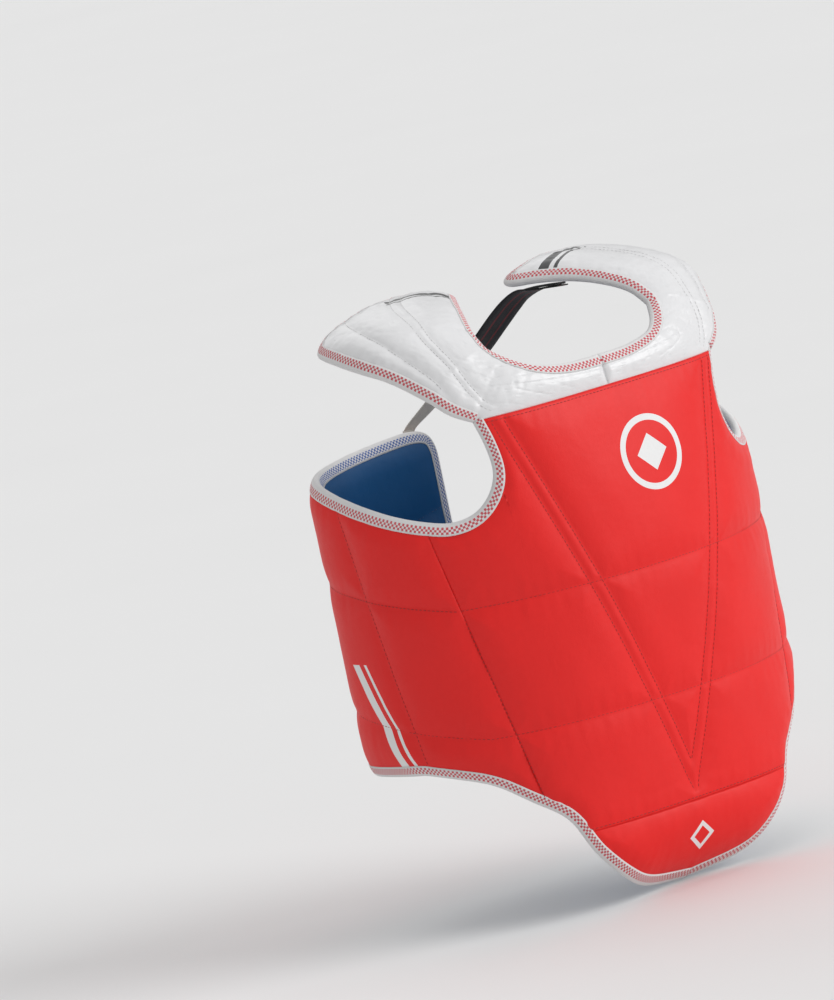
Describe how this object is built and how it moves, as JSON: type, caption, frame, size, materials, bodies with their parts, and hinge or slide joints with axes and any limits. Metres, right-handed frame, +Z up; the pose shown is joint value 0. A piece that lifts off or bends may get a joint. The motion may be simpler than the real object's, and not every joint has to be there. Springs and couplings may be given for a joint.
{
  "type": "chest protector",
  "caption": "Reversible padded martial arts chest protector with red outer face, blue inner face, white shoulder yoke and crossed elastic straps.",
  "frame": {"origin": "on the middle line of the torso that wears it, under the middle of the bounding box, at the height of the lowest edge of the abdomen flap", "axes": "+Z up along the wearer, -Y to the front of the chest, +X to the left hand of the wearer"},
  "size_m": [0.476, 0.3149, 0.6325],
  "materials": {
    "red_vinyl": "satin grained synthetic leather",
    "blue_vinyl": "satin grained synthetic leather",
    "white_vinyl": "glossy creased synthetic leather",
    "foam": "closed-cell foam pad",
    "edge_tape": "woven edge tape with checked zigzag stitching",
    "elastic": "woven black elastic with thin dark red lines",
    "cotton_tape": "undyed woven tape",
    "hook_tape": "hook tape",
    "loop_tape": "zigzag-stitched loop patch"
  },
  "bodies": {
    "trunk": {"apron_cover": "red_vinyl", "apron_foam": "foam", "belly_foam": "foam", "chest_foam": "foam", "front_cover": "red_vinyl", "front_lining": "blue_vinyl", "hem_binding": "edge_tape", "left_armhole_binding": "edge_tape", "left_breast_foam": "foam", "left_flank_lower_foam": "foam", "left_flank_middle_foam": "foam", "left_flank_upper_foam": "foam", "left_hip_foam": "foam", "left_rib_foam": "foam", "left_yoke_cover": "white_vinyl", "left_yoke_foam": "foam", "left_yoke_lining": "white_vinyl", "neck_binding": "edge_tape", "right_armhole_binding": "edge_tape", "right_breast_foam": "foam", "right_flank_lower_foam": "foam", "right_flank_middle_foam": "foam", "right_flank_upper_foam": "foam", "right_hip_foam": "foam", "right_rib_foam": "foam", "right_yoke_cover": "white_vinyl", "right_yoke_foam": "foam", "right_yoke_lining": "white_vinyl", "vee_tip_foam": "foam"},
    "right_wing": {"right_tab_anchor": "cotton_tape", "right_wing_binding": "edge_tape", "right_wing_cover": "red_vinyl", "right_wing_lining": "blue_vinyl", "right_wing_lower_foam": "foam", "right_wing_middle_foam": "foam", "right_wing_upper_foam": "foam"},
    "left_wing": {"left_tab_anchor": "cotton_tape", "left_wing_binding": "edge_tape", "left_wing_cover": "red_vinyl", "left_wing_lining": "blue_vinyl", "left_wing_lower_foam": "foam", "left_wing_middle_foam": "foam", "left_wing_upper_foam": "foam"},
    "right_shoulder": {"right_shoulder_binding": "edge_tape", "right_shoulder_cover": "white_vinyl", "right_shoulder_foam": "foam", "right_shoulder_lining": "white_vinyl", "right_shoulder_patch": "loop_tape"},
    "left_shoulder": {"left_shoulder_binding": "edge_tape", "left_shoulder_cover": "white_vinyl", "left_shoulder_foam": "foam", "left_shoulder_lining": "white_vinyl", "left_shoulder_patch": "loop_tape"},
    "right_strap": {"right_elastic": "elastic", "right_hook_end": "hook_tape", "right_tape_tab": "cotton_tape"},
    "left_strap": {"left_elastic": "elastic", "left_hook_end": "hook_tape", "left_tape_tab": "cotton_tape"}
  },
  "joints": [
    {"name": "right_wing_open", "type": "hinge", "parent": "trunk", "child": "right_wing", "pos_m": [-0.23507, -0.00037, 0.3], "axis": [0, 0, 1], "range_deg": [0, 70]},
    {"name": "right_shoulder_raise", "type": "hinge", "parent": "trunk", "child": "right_shoulder", "pos_m": [-0.145, -0.0903, 0.57], "axis": [0.9165, -0.0111, 0.3999], "range_deg": [0, 60]},
    {"name": "right_strap_swing", "type": "hinge", "parent": "right_wing", "child": "right_strap", "pos_m": [-0.05, 0.1492, 0.487], "axis": [-1, 0, 0], "range_deg": [0, 120], "deforming": ["right_elastic", "right_tape_tab", "right_hook_end"]},
    {"name": "left_wing_open", "type": "hinge", "parent": "trunk", "child": "left_wing", "pos_m": [0.23507, -0.00037, 0.3], "axis": [0, 0, -1], "range_deg": [0, 70]},
    {"name": "left_shoulder_raise", "type": "hinge", "parent": "trunk", "child": "left_shoulder", "pos_m": [0.145, -0.0903, 0.57], "axis": [0.9165, 0.0111, -0.3999], "range_deg": [0, 60]},
    {"name": "left_strap_swing", "type": "hinge", "parent": "left_wing", "child": "left_strap", "pos_m": [0.05, 0.1492, 0.487], "axis": [-1, 0, 0], "range_deg": [0, 120], "deforming": ["left_elastic", "left_tape_tab", "left_hook_end"]}
  ]
}
